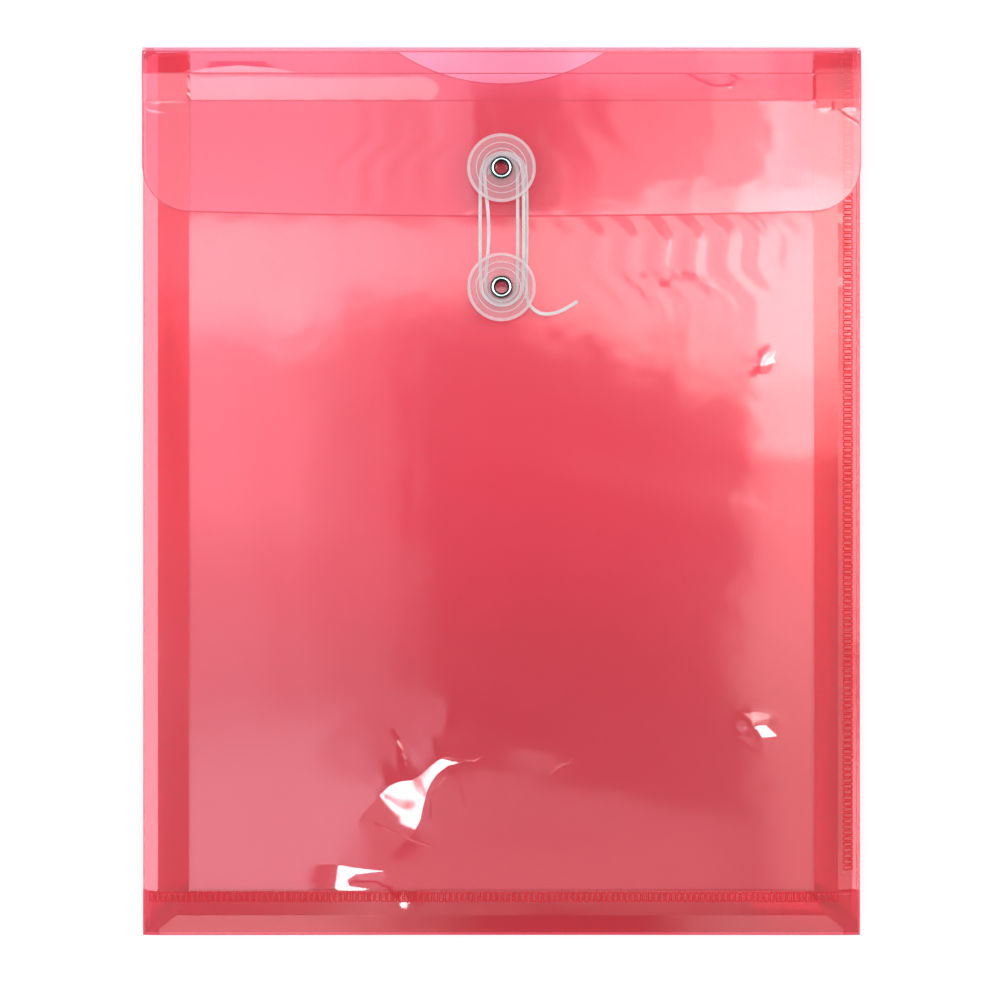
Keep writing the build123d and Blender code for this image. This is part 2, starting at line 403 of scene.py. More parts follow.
def film_sheet(
    name, outline, height, depth, holes=(), lines=(), creases=(),
    spacing=2.4, fine_zones=(), joined_above=math.inf,
):
    """A closed sheet of film over an outline. Its edge and any pressed lines are strips of the edge
    material. Creases are lines that the mesh follows, with no colour of their own. Fine zones are discs
    with a closer mesh. Above joined_above the sheet runs on into the next one, with no edge line."""
    edge_step = 1.2
    row_share = 0.866  # rows of a triangular mesh, beside the points' spacing
    clear_share = 0.6  # least distance from a line, beside the points' spacing
    loops = [resample(loop, edge_step, closed=True) for loop in (outline, *holes)]
    points, strips, edges = [], [], []

    def add_line(line, strip, closed):
        first = len(points)
        points.extend(line)
        strips.extend([strip] * len(line))
        edges.extend((first + i, first + i + 1) for i in range(len(line) - 1))
        if closed:
            edges.append((first + len(line) - 1, first))

    for number, loop in enumerate(loops):
        add_line(loop, number + 1, closed=True)
        add_line(offset_loop(loop, edge_line_width), number + 1, closed=True)
    for number, (start, end, width) in enumerate(lines):
        start, end = np.array(start, float), np.array(end, float)
        along = (end - start) / np.linalg.norm(end - start)
        across = np.array([-along[1], along[0]]) * width / 2
        for side in (-across, across):
            line = resample([start + side, end + side], edge_step, closed=False)
            add_line(line, -number - 1, closed=False)
    for crease in creases:
        add_line(resample(crease, edge_step, closed=False), 0, closed=False)

    tree = KDTree(len(points))
    for index, point in enumerate(points):
        tree.insert((*point, 0), index)
    tree.balance()

    def in_film(places):
        result = inside(places, loops[0])
        for hole in loops[1:]:
            result &= ~inside(places, hole)
        return result

    def fill(low, high, step):
        columns = np.arange(low[0], high[0], step)
        rows = np.arange(low[1], high[1], step * row_share)
        grid = np.array([(x + (row % 2) * step / 2, y) for row, y in enumerate(rows) for x in columns])
        return grid[in_film(grid)]

    def clear_of_lines(places, step):
        return [p for p in places if tree.find((*p, 0))[2] > step * clear_share]

    coarse = fill(loops[0].min(0), loops[0].max(0), spacing)
    for centre, radius, _ in fine_zones:
        coarse = coarse[np.linalg.norm(coarse - centre, axis=1) > radius]
    inner = clear_of_lines(coarse, spacing)
    for centre, radius, step in fine_zones:
        fine = fill(np.array(centre) - radius, np.array(centre) + radius, step)
        fine = fine[np.linalg.norm(fine - centre, axis=1) <= radius - step / 2]
        inner += clear_of_lines(fine, step)
    points.extend(inner)
    strips.extend([0] * len(inner))

    flat, _, triangles, origins, _, _ = delaunay_2d_cdt([Vector(p) for p in points], edges, [], 0, 1e-6)
    flat = np.array([tuple(p) for p in flat])
    strips = np.array([strips[o[0]] if o else 0 for o in origins])
    triangles = np.array([t for t in triangles if len(t) == 3])
    triangles = triangles[in_film(flat[triangles].mean(axis=1))]

    corner_strips = strips[triangles]
    is_strip = (corner_strips[:, 0] != 0) & (corner_strips == corner_strips[:, :1]).all(axis=1)
    is_strip &= flat[triangles][:, :, 1].mean(axis=1) < joined_above
    middle = height(flat[:, 0], flat[:, 1])
    count = len(flat)
    solid = np.concatenate([np.column_stack([flat, middle + side * film / 2]) for side in (1, -1)])
    sides = {}
    for a, b, c in triangles:
        for edge in ((a, b), (b, c), (c, a)):
            sides[tuple(sorted(edge))] = None if tuple(sorted(edge)) in sides else edge
    rim = [(b, a, a + count, b + count) for a, b in filter(None, sides.values())]
    faces = [tuple(t) for t in triangles]
    faces += [(a + count, c + count, b + count) for a, b, c in triangles]
    faces += rim
    face_materials = np.concatenate([is_strip, is_strip, np.ones(len(rim))]).astype(int)
    piece = new_piece(name, solid, faces, [panel_film, edge_film], face_materials)
    set_depth(piece, np.tile(depth(flat[:, 0], flat[:, 1]), 2))
    mark_sharp(piece, 2.5)
    return piece


def mark_sharp(piece, degrees):
    """Keep edges that turn by more than an angle crisp."""
    piece.data.set_sharp_from_angle(angle=math.radians(degrees))


def film_grid(name, grid, is_strip, depth, material):
    """A closed sheet of film through a grid of points. is_strip marks its edge-coloured rows."""
    rows, columns, _ = grid.shape
    faces = grid_faces(rows, columns)
    face_materials = np.repeat(is_strip, columns - 1).astype(int)
    piece = new_piece(name, grid.reshape(-1, 3), faces, [material, edge_film], face_materials)
    set_depth(piece, depth)
    solidify = piece.modifiers.new("thickness", "SOLIDIFY")
    solidify.thickness = film * MM
    solidify.offset = 0
    solidify.use_even_offset = True
    solidify.material_offset_rim = 1 if material == panel_film else 0
    shown = piece.evaluated_get(bpy.context.evaluated_depsgraph_get())
    mesh = bpy.data.meshes.new_from_object(shown)
    piece.modifiers.clear()
    piece.data = mesh
    mesh.name = name
    mark_sharp(piece, 60)
    return piece


def even(value):
    """The same height or depth all over a sheet."""
    return lambda x, y: np.full_like(x, value)


def film_depth_and_shade(x, y):
    """How deep the colour of the two large sheets looks: deepest at the bottom and a little paler near the
    top, a painted shade for light that falls off towards the bottom.
    """
    return 0.74 + 0.22 * smooth(20, -100, y) - 0.06 * smooth(20, 90, y)


def back_film():
    """The sheet that the envelope lies on. Its tint is painted paler at its upper edge, as painted light
    where light would get under it.
    """
    outline = rectangle(-half_width, -half_height, half_width, half_height)

    def depth(x, y):
        # Painted light: the tint fades paler towards the upper edge.
        fade = smooth(half_height - 22, half_height - 6, y)
        return film_depth_and_shade(x, y) * (1 - fade) - 0.08 * fade

    piece = film_sheet("film_back", outline, even(film / 2), depth, spacing=6.0)
    dress(piece, "back", "film", "back_panel")


# Height of the front film across its width, beside its middle level
side_profile = [
    (-120.65, -1.9),
    (-115.6, -1.04),
    (-105.0, 0),
    (105.0, 0),
    (113.2, -0.8),
    (118.1, -1.05),
    (120.65, -1.6),
]
# The same below the bottom seam, where the sheets are welded flat, and the fall towards the bottom edge
corner_profile = [(-120.65, -1.53), (-105.0, 0), (105.0, 0), (120.65, -1.53)]
bottom_profile = [(-149.25, -1.12), (-142.5, -0.42), (-134.25, 0)]
# Gentle rise from the middle to the side creases, so that the bent borders stay clear of the back film
lift_profile = [(-105.0, 0.34), (-30.0, 0), (30.0, 0), (105.0, 0.3)]
seam_y = -134.25
seam_step = 0.4
mitre_xs = [105.0, 109.3, 116.4]
pillow_rise = 1.0
pillow_full_y = -50.0
pillow_fade = (-70.0, 60.0)
# Soft dents and bulges: x, y, half length, half width, turn in degrees and height
front_dents = [
    (-17.0, -77.0, 8.0, 6.0, 20.0, 0.3),
    (9.6, -84.0, 12.0, 6.0, -15.0, 0.2),
]
# Crisp tilted facets where pinched film catches a lamp: slope to the right, slope upwards, bend,
# the width over which the film comes back to its level, and the outline
front_facets = [
    (-0.047, 0.051, 0.0007, 28.0, [
        (-40.8, -102.0), (-38.1, -99.0), (-34.1, -97.3), (-30.1, -97.0), (-27.1, -95.3),
        (-24.0, -92.3), (-21.3, -90.2), (-18.7, -89.4), (-15.3, -89.9), (-9.2, -90.6),
        (-15.3, -91.3), (-18.3, -92.3), (-21.7, -94.9), (-24.0, -98.3), (-25.4, -102.0),
        (-26.4, -105.7), (-27.1, -109.7), (-28.4, -112.8),
    ]),
    (0, 0.0675, 0.0007, 18.0, [
        (-55.0, -125.5), (-50.2, -126.2), (-39.2, -127.5), (-48.9, -128.6), (-51.9, -130.6),
        (-51.3, -132.6), (-44.2, -133.6), (-46.9, -134.1), (-56.0, -134.1),
    ]),
    (-0.054, 0, 0, 3.0, [
        (86.9, 42.2), (87.9, 45.4), (90.8, 47.6), (92.4, 47.8), (91.2, 44.8), (88.6, 42.2),
    ]),
    (-0.0465, 0.0627, 0, 6.0, [(84.2, -78.8), (88.9, -78.5), (92.3, -82.2), (88.2, -82.5)]),
]
# Sharp little ridges left by handling: half width, height and a line of points
front_ridges = [
    (0.45, 0.07, [(-19.0, -96.0), (-21.9, -99.4), (-23.6, -104.0), (-24.0, -110.0)]),
    (0.45, 0.06, [(-42.5, -111.4), (-36.0, -114.4), (-29.6, -117.2), (-24.0, -119.0)]),
    (0.5, 0.09, [(-18.7, -89.6), (-14.0, -90.6), (-9.2, -90.8)]),
    (0.6, 0.08, [(18.0, -93.0), (20.5, -91.4), (23.0, -90.8)]),
]
# Faint ripples: x, y, half sizes, wave length, turn in degrees and height
front_ripples = [
    (60.0, 79.0, 32.0, 16.0, 10.0, 25.0, 0.08),
    (30.0, -30.0, 90.0, 90.0, 46.0, 70.0, 0.05),
]
flap_ripples = [
    (-35.0, 112.0, 30.0, 18.0, 9.0, -25.0, 0.035),
    (45.0, 118.0, 26.0, 18.0, 17.0, 15.0, 0.03),
]


def profile_height(profile, place):
    """Height at a place on a table of places and heights."""
    return np.interp(place, *zip(*profile))


def turned(x, y, degrees):
    """Distances along a direction and across it."""
    cosine, sine = math.cos(math.radians(degrees)), math.sin(math.radians(degrees))
    return x * cosine + y * sine, y * cosine - x * sine


def dents(x, y, table):
    """Sum of soft bumps."""
    total = np.zeros_like(x)
    for centre_x, centre_y, half_length, half_breadth, turn, rise in table:
        along, across = turned(x - centre_x, y - centre_y, turn)
        total += rise * np.exp(-((along / half_length) ** 2 + (across / half_breadth) ** 2))
    return total


def ripples(x, y, table):
    """Sum of patches of waves that fade out at their borders."""
    total = np.zeros_like(x)
    for centre_x, centre_y, half_x, half_y, length, turn, rise in table:
        along = turned(x, y, turn)[0] + 0.25 * length * np.sin(2 * math.pi * y / (2.3 * length))
        patch = np.exp(-(((x - centre_x) / half_x) ** 2) - ((y - centre_y) / half_y) ** 2)
        total += rise * patch * np.sin(2 * math.pi * along / length)
    return total


def nearest_on_line(points, line):
    """The nearest place to each point on a line of points, and its distance."""
    near = np.array(points)
    least = np.full(len(points), np.inf)
    for start, end in zip(line, line[1:]):
        along = end - start
        share = np.clip((points - start) @ along / (along @ along), 0, 1)
        place = start + share[:, None] * along
        distance = np.linalg.norm(points - place, axis=1)
        closer = distance < least
        near[closer], least[closer] = place[closer], distance[closer]
    return near, least


def ridges(x, y, table):
    """Highest of the sharp little ridges at each point."""
    total = np.zeros_like(x)
    for half_breadth, rise, line in table:
        _, distance = nearest_on_line(np.column_stack([x, y]), np.array(line))
        total = np.maximum(total, rise * np.clip(1 - distance / half_breadth, 0, 1))
    return total


def ridge_creases(table):
    """Lines for the mesh along the crest and both feet of each ridge."""
    creases = []
    for half_breadth, _, line in table:
        line = resample(line, 1.0, closed=False)
        along = np.gradient(line, axis=0)
        along /= np.linalg.norm(along, axis=1)[:, None]
        across = np.stack([-along[:, 1], along[:, 0]], axis=1) * half_breadth
        creases += [line - across, line, line + across]
    return creases


def facets(x, y, table):
    """Sum of the tilted facets, each with film round it that comes back to its level."""
    points = np.column_stack([x, y])
    total = np.zeros_like(x)
    for slope_x, slope_y, bend, fall, loop in table:
        loop = np.array(loop)
        centre = loop.mean(axis=0)

        def plane(places):
            from_centre = places - centre
            return from_centre @ (slope_x, slope_y) + bend / 2 * (from_centre**2).sum(axis=1)

        near, distance = nearest_on_line(points, np.vstack([loop, loop[:1]]))
        within = inside(points, loop)
        near[within], distance[within] = points[within], 0
        total += (plane(near) - plane(loop).min()) * (1 - smooth(0, fall, distance))
    return total


def facet_creases(table):
    """Lines for the mesh round each facet."""
    return [[*loop, loop[0]] for *_, loop in table]


def front_height(x, y):
    """Height of the front film's middle: a flat pillow with bent borders, dents and ridges."""
    pillow = (1 - (x / half_width) ** 2) * smooth(-half_height, pillow_full_y, y)
    pillow *= 1 - smooth(*pillow_fade, y)
    welded = smooth(seam_y + seam_step, seam_y - seam_step, y)
    sides = profile_height(side_profile, x) * (1 - welded) + profile_height(corner_profile, x) * welded
    borders = np.minimum(sides, profile_height(bottom_profile, y)) + profile_height(lift_profile, x)
    marks = dents(x, y, front_dents) + ripples(x, y, front_ripples)
    marks += ridges(x, y, front_ridges) + facets(x, y, front_facets)
    return front_middle_z + pillow_rise * pillow + borders + marks


def border_creases(low_y, high_y):
    """Lines along the bends of the front film beside its edges."""
    margin = 1.0
    low_y = max(low_y + margin, seam_y + seam_step)
    sides = [[(x, low_y), (x, high_y - margin)] for x, _ in side_profile[1:-1]]
    seam_x, bend_x, foot_x = mitre_xs
    bend_y = bottom_profile[1][0]
    corners = []
    for side in (-1, 1):
        corners.append([(side * seam_x, seam_y), (side * bend_x, bend_y)])
        corners.append([(side * bend_x, bend_y), (side * foot_x, -half_height + margin)])
        for y in (seam_y - seam_step, seam_y + seam_step):
            corners.append([(side * (seam_x + margin), y), (side * (half_width - margin), y)])
    corners.append([(-bend_x, bend_y), (bend_x, bend_y)])
    corners.append([(-seam_x, seam_y), (seam_x, seam_y)])
    return sides, corners


def front_film():
    """The front sheet, with its thumb notch and the hole for the lower eyelet."""
    notch_radius = ((notch_width / 2) ** 2 + notch_depth**2) / (2 * notch_depth)
    notch_centre = (0, front_high.y - notch_depth + notch_radius)
    half_angle = math.degrees(math.asin(notch_width / 2 / notch_radius))
    outline = [
        (-half_width, -half_height),
        (half_width, -half_height),
        (half_width, front_high.y),
        *arc(notch_centre, notch_radius, -90 + half_angle, -90 - half_angle, 48),
        (-half_width, front_high.y),
    ]
    hole = arc((0, lower_y), film_hole_radius, 360, 0, 33)[:-1]
    fold_line_x = half_width - 1.1
    tab_x = half_width - 2.0
    tab_y = seam_y - 1.2
    width = 0.3
    lines = [
        ((fold_line_x, seam_y + 1), (fold_line_x, front_high.y - 1), width),
        ((-tab_x + 1.5, tab_y), (-mitre_xs[0] - 1, tab_y), width),
        ((-tab_x, -half_height + 3), (-tab_x, seam_y - 2.7), width),
        ((mitre_xs[0] + 1, tab_y), (tab_x - 1.5, tab_y), width),
    ]
    sides, corners = border_creases(-half_height, front_high.y)
    creases = sides + corners + ridge_creases(front_ridges) + facet_creases(front_facets)
    zones = [
        ((-27.0, -101.0), 20.0, 0.9),
        ((-50.0, -127.0), 13.0, 0.9),
        ((88.6, -80.5), 8.0, 0.8),
        ((89.6, 45.0), 7.0, 0.8),
    ]
    name = "film_front"
    piece = film_sheet(name, outline, front_height, film_depth_and_shade, [hole], lines, creases, fine_zones=zones)
    dress(piece, "front", "film", "front_panel")


def seam_tab():
    """The strip of film under the front sheet's right edge."""
    outline = rectangle(tab_low.x, tab_low.y, tab_high.x, tab_high.y)

    def height(x, y):
        return front_height(x, y) - film - film_gap / 3

    sides, _ = border_creases(tab_low.y, tab_high.y)
    creases = [side for side in sides if side[0][0] > tab_low.x]
    piece = film_sheet("film_seam_tab", outline, height, even(0.6), creases=creases)
    dress(piece, "front", "film", "side_seam_tab")


def gusset():
    """One film folded inwards round the left, the bottom and the right, mitred at the corners."""
    back_z = film + film_gap
    front_z = tab_low.z - 2 * film_gap
    fold_z = (back_z + front_z) / 2
    fold_half = 0.22
    shares = np.array([0, 0.12, 0.25, 0.4, 0.55, 0.7, 0.85, 0.95, 0.985, 1.0])
    profile = [(s, back_z + (fold_z - fold_half - back_z) * s) for s in shares[:-1]]
    profile += [(1.0, fold_z)]
    profile += [(s, front_z + (fold_z + fold_half - front_z) * s) for s in shares[-2::-1]]
    side_steps = np.linspace(0, 1, 61)
    bottom_steps = np.linspace(0, 1, 49)
    rows = []
    for share, z in profile:
        inset = share * side_leaf
        rise = share * bottom_leaf
        top, bottom = front_high.y, -half_height + rise
        left, right = -half_width + inset, half_width - inset
        follow = max(0, (z - fold_z) / (front_z - fold_z))
        row = [(left, top + (bottom - top) * t, z) for t in side_steps[:-1]]
        row += [(left + (right - left) * t, bottom, z) for t in bottom_steps[:-1]]
        row += [(right, bottom + (top - bottom) * t, z) for t in side_steps]
        row = np.array(row)
        row[:, 2] += follow * np.minimum(front_height(row[:, 0], row[:, 1]) - front_middle_z, 0)
        rows.append(row)
    grid = np.array(rows)
    is_strip = [min(low[0], high[0]) > 0.98 for low, high in zip(profile, profile[1:])]
    piece = film_grid("film_gusset", grid, is_strip, 0.66, panel_film)
    sides = ("left", "right", "bottom")
    leaves = [f"{side}_gusset_{leaf}_leaf" for side in sides for leaf in ("back", "front")]
    dress_across(piece, ("back", "front"), (0, 0, back_z), (0, 0, front_z), *leaves)


# Height of the flap beside its middle level, at its lower edge, its two fold lines and its top
flap_left_rows = [-0.1, -0.4, 0.1, 0]
flap_left_fade = (-9.0, -27.0)
flap_right_rows = [0.1, 0.55, 0.1, 0]
flap_right_fade = (14.0, 70.0)
flap_left_corner_rows = [0, 0, 0.1, 0.5, 0]
flap_right_corner_rows = [0, 0, 0.5, 0.5, 0]
flap_corner_fade = 3.0
flap_ridges = [
    (0.9, 0.055, [(-119.4, 130.0), (-118.1, 128.2), (-115.5, 127.9)]),
    (0.9, 0.055, [(111.4, 130.4), (111.8, 128.6), (115.5, 125.9), (119.4, 123.5)]),
    (0.9, 0.055, [(63.4, 139.2), (66.7, 137.3), (71.8, 135.6), (76.8, 135.9), (79.0, 138.0), (76.8, 139.6)]),
]
flap_facets = [
    (0, 0.069, 0, 2.0, [(-104.7, 140.7), (-99.7, 142.0), (-87.9, 143.0), (-76.1, 142.0), (-68.7, 140.7)]),
]


def flap_edge_y(x):
    """Lower edge of the flap, bowed between its corners."""
    return flap_low.y + flap_sag * (x / half_width) ** 2


def flap_film():
    """The flap, with round corners and two pressed fold lines that tilt the strips between them."""
    bend_x = half_width - flap_corner_radius
    bend_y = flap_edge_y(bend_x) + flap_corner_radius
    edge_slope = math.degrees(math.atan(2 * flap_sag * bend_x / half_width**2))
    outline = [(half_width, flap_high.y), (-half_width, flap_high.y)]
    outline += arc((-bend_x, bend_y), flap_corner_radius, 180, 270 - edge_slope, 24)
    outline += [(x, flap_edge_y(x)) for x in np.linspace(-bend_x, bend_x, 60)[1:-1]]
    outline += arc((bend_x, bend_y), flap_corner_radius, -90 + edge_slope, 0, 24)
    hole = arc((0, upper_y), film_hole_radius, 360, 0, 33)[:-1]
    corner_x, corner_bend = 105.0, 0.5
    score_ys = [half_height - drop for drop in score_drops]
    margin = 1.0
    lines = [((-half_width + margin, y), (half_width - margin, y), score_width) for y in score_ys]

    def height(x, y):
        left = smooth(*flap_left_fade, x)
        right = smooth(*flap_right_fade, x)
        rows = [flap_low.y, *score_ys[::-1], flap_high.y]
        tilt = left * np.interp(y, rows, flap_left_rows) + right * np.interp(y, rows, flap_right_rows)
        rows.insert(1, score_ys[1] - flap_corner_fade)
        left_corner = smooth(-corner_x + corner_bend, -corner_x - corner_bend, x)
        right_corner = smooth(corner_x - corner_bend, corner_x + corner_bend, x)
        tilt += left_corner * np.interp(y, rows, flap_left_corner_rows)
        tilt += right_corner * np.interp(y, rows, flap_right_corner_rows)
        marks = ripples(x, y, flap_ripples) + ridges(x, y, flap_ridges) + facets(x, y, flap_facets)
        return flap_middle_z + tilt + marks

    # A low, pale tint depth: painted light for the stronger light towards the top.
    depth = even(0.25)
    creases = ridge_creases(flap_ridges) + facet_creases(flap_facets)
    spans = [
        (score_ys[0] + margin, flap_high.y - margin),
        (score_ys[1] + margin, score_ys[0] - margin),
        (score_ys[1] - flap_corner_fade, score_ys[1] - margin),
    ]
    for side in (-1, 1):
        for x in (side * corner_x - corner_bend, side * corner_x + corner_bend):
            creases += [[(x, low_y), (x, high_y)] for low_y, high_y in spans]
    spacing, joint_y = 2.0, flap_high.y - 0.5
    piece = film_sheet("film_flap", outline, height, depth, [hole], lines, creases, spacing, (), joint_y)
    dress(piece, "flap", "film", "flap_panel")


def fold_films():
    """The standing strip at the top and the round crease that joins it to the flap."""
    columns = np.linspace(-half_width, half_width, 61)
    row_count, depth = 9, 0.3
    wall_y = (wall_low.y + wall_high.y) / 2
    wall_line = [(wall_y, z) for z in np.linspace(wall_low.z, wall_high.z, row_count)]
    wall_ends = (0, wall_y, wall_low.z), (0, wall_y, wall_high.z)
    radius = crease_high.z - crease_low.z - film / 2
    crease_line = arc((crease_low.y, crease_low.z), radius, 0, 90, row_count)
    crease_ends = (0, crease_high.y, crease_low.z), (0, crease_low.y, crease_high.z)
    for name, line, bodies, ends in (
        ("fold_wall", wall_line, ("fold_wall", "fold_crease"), wall_ends),
        ("fold_crease", crease_line, ("fold_crease", "flap"), crease_ends),
    ):
        grid = np.array([[(x, y, z) for x in columns] for y, z in line])
        piece = film_grid(f"film_{name}", grid, [False] * (row_count - 1), depth, fold_film)
        dress_across(piece, bodies, *ends, f"flap_{name}")


def weld_row(name, centres, long_axis):
    """A row of pressed ovals: each is a low bead round a long dent."""
    ring_steps, bead_steps = 28, 6
    rise_share, seat_share = 0.35, 0.1
    straight = (weld_long - weld_short) / 2
    points, faces = [], []
    for centre_x, centre_y in centres:
        oval = grid_faces(ring_steps, bead_steps, True, True, len(points))
        faces += oval if long_axis == "y" else [face[::-1] for face in oval]
        for i in range(ring_steps):
            turn = 2 * math.pi * i / ring_steps
            for j in range(bead_steps):
                roll = 2 * math.pi * j / bead_steps
                radius = (weld_short + weld_wire * math.cos(roll)) / 2
                along = math.copysign(straight, math.cos(turn)) + radius * math.cos(turn)
                across = radius * math.sin(turn)
                x, y = (along, across) if long_axis == "x" else (across, along)
                points.append((centre_x + x, centre_y + y, weld_wire * rise_share * math.sin(roll)))
    points = np.array(points)
    points[:, 2] += front_height(points[:, 0], points[:, 1]) + film / 2 + weld_wire * seat_share
    piece = new_piece(name, points, faces, [weld_film])
    set_depth(piece, 0.5)
    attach(piece, "front")


def welds():
    """The pressed ovals down the right seam and along the bottom seam."""
    side_ys = np.arange(tab_low.y + 3, front_high.y - 1, weld_pitch)
    weld_row("weld_side", [(side_weld_x, y) for y in side_ys], "x")
    bottom_xs = np.arange(-half_width + 3, half_width - 7, weld_pitch)
    weld_row("weld_bottom", [(x, bottom_weld_y) for x in bottom_xs], "y")


# Discs and eyelets


def lathe(name, profile, axis_y, base_z, materials, marked=()):
    """A ring turned from a closed profile of radius and height. Its second material is on the faces
    between two marked profile points."""
    steps = 96
    points = []
    for i in range(steps):
        turn = 2 * math.pi * i / steps
        points += [(r * math.cos(turn), axis_y + r * math.sin(turn), base_z + z) for r, z in profile]
    faces = [(a, d, c, b) for a, b, c, d in grid_faces(steps, len(profile), True, True)]
    is_marked = [int(p in marked and q in marked) for p, q in zip(profile, profile[1:] + profile[:1])]
    piece = new_piece(name, points, faces, materials, is_marked * steps)
    mark_sharp(piece, 40)
    return piece


def closure(name, axis_y, film_top, body):
    """One clear disc with stepped rings and the rolled eyelet that it turns on."""
    disc_radius, bore = 11.5, 2.4
    hub_radius, hub_base, plate_base, plate_top = 2.7, 0.05, 4.0, 5.0
    ring_radii, ring_step = (8.4, 6.4), 0.12
    ridge_foot, ridge_half, ridge_rise = 0.35, 0.15, 0.1
    rim = 0.36
    outer_top = plate_top - 2 * ring_step
    bead_top = outer_top + 0.2
    profile = [(bore, plate_top), (bore, hub_base), (hub_radius, hub_base), (hub_radius, plate_base)]
    profile += arc((disc_radius - rim, plate_base + rim), rim, -90, 0, 6)
    bright = arc((disc_radius - rim, outer_top - rim), rim, 0, 90, 6)
    bright += [(11.05, outer_top), (10.9, bead_top), (10.55, bead_top), (10.4, outer_top)]
    profile += bright
    for number, ring_radius in enumerate(ring_radii):
        low_top = outer_top + number * ring_step
        ridge_top = low_top + ring_step + ridge_rise
        ridge = [(ring_radius + ridge_half, ridge_top), (ring_radius - ridge_half, ridge_top)]
        inner_foot = (ring_radius - ridge_foot, low_top + ring_step)
        profile += [(ring_radius + ridge_foot, low_top), *ridge, inner_foot]
        bright += ridge
    disc = lathe(f"clear_{name}_disc", profile[::-1], axis_y, film_top, [disc_plastic, disc_rim], bright)
    dress(disc, f"{name}_disc", "disc", f"{name}_disc")

    eyelet_bore, barrel, flange_base, flange_radius = 2.1, 2.35, 5.05, 3.75
    clinch_radius, clinch_top, clinch_height = 3.4, -0.6, 0.35
    clinch_base = clinch_top - clinch_height
    roll, roll_height = (flange_radius - eyelet_bore) / 2, 0.8
    profile = [(clinch_radius, clinch_top), (barrel, clinch_top), (barrel, flange_base)]
    for across, up in arc((0, 0), 1, 0, 180, 17):
        profile.append((eyelet_bore + roll + roll * across, flange_base + roll_height * up))
    profile += [(eyelet_bore, clinch_base), (clinch_radius - clinch_height, clinch_base)]
    eyelet = lathe(f"rolled_{name}_eyelet", profile[::-1], axis_y, film_top, [painted_sheen_nickel])
    dress(eyelet, body, "eyelet", f"{name}_eyelet")
    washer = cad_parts[f"{name}_washer"]
    washer.data.materials.clear()
    washer.data.materials.append(disc_plastic)


# String


def half_turn(left_x, right_x, end_y, z, upward):
    """Points of a half turn from left to right over a hub, or under it."""
    middle, radius = (left_x + right_x) / 2, (right_x - left_x) / 2
    reach = radius / math.cos(math.radians(15))
    sign = 1 if upward else -1
    turn = arc((middle, end_y - sign * radius), reach, sign * 180, 0, 7)
    return [Vector((x, y, z)) for x, y in turn]


def string_route():
    """Control points of the whole string, from its knot under the upper disc to its cut end."""
    first_left, _, _, first_lift = winding_turns[0]
    route = [Vector((first_left, upper_y - string_start_drop, flap_high.z + first_lift))]
    for index, (left_x, right_x, reach, lift) in enumerate(winding_turns):
        if index % 2 == 0:
            turn = half_turn(left_x, right_x, upper_y + reach, flap_high.z + lift, True)
        else:
            turn = half_turn(left_x, right_x, lower_y - reach, front_high.z + lift, False)[::-1]
        route += turn
        if index == slack_turn:
            slack_z = (front_high.z + flap_high.z + low_layer + high_layer) / 2
            route.append(Vector((slack_x, (upper_y + lower_y) / 2, slack_z)))
    _, last_right, _, last_lift = winding_turns[-1]
    winding_end = Vector((last_right, lower_y + winding_end_rise, front_high.z + last_lift))
    pull = (winding_end - route[-1]).normalized()
    route += [winding_end, winding_end + pull * tail_lead]
    route += [Vector((x, lower_y + y, front_high.z + lift)) for x, y, lift in tail_points]
    return route


def spline_line(route):
    """Points along one smooth NURBS spline through the route, in millimetres."""
    curve = bpy.data.curves.new("string_line", "CURVE")
    curve.dimensions = "3D"
    spline = curve.splines.new("NURBS")
    spline.points.add(len(route) - 1)
    for control, point in zip(spline.points, route):
        control.co = (*point, 1)
    spline.order_u = 3
    spline.use_endpoint_u = True
    spline.resolution_u = 24
    holder = bpy.data.objects.new("string_line", curve)
    mesh = bpy.data.meshes.new_from_object(holder)
    line = np.array([tuple(v.co) for v in mesh.vertices])
    bpy.data.objects.remove(holder)
    bpy.data.curves.remove(curve)
    bpy.data.meshes.remove(mesh)
    return line


def evenly(line, step):
    """The line with points a step apart."""
    along = np.concatenate([[0], np.cumsum(np.linalg.norm(np.diff(line, axis=0), axis=1))])
    places = np.linspace(0, along[-1], int(along[-1] / step) + 1)
    return np.column_stack([np.interp(places, along, line[:, k]) for k in range(3)]), places


def side_vectors(line):
    """Two vectors across the line at each point, turning as little as they can."""
    along = np.gradient(line, axis=0)
    along /= np.linalg.norm(along, axis=1)[:, None]
    side = np.cross(along[0], (0, 0, 1))
    sides = []
    for direction in along:
        side = side - direction * (side @ direction)
        side = side / np.linalg.norm(side)
        sides.append(side)
    sides = np.array(sides)
    return sides, np.cross(along, sides)


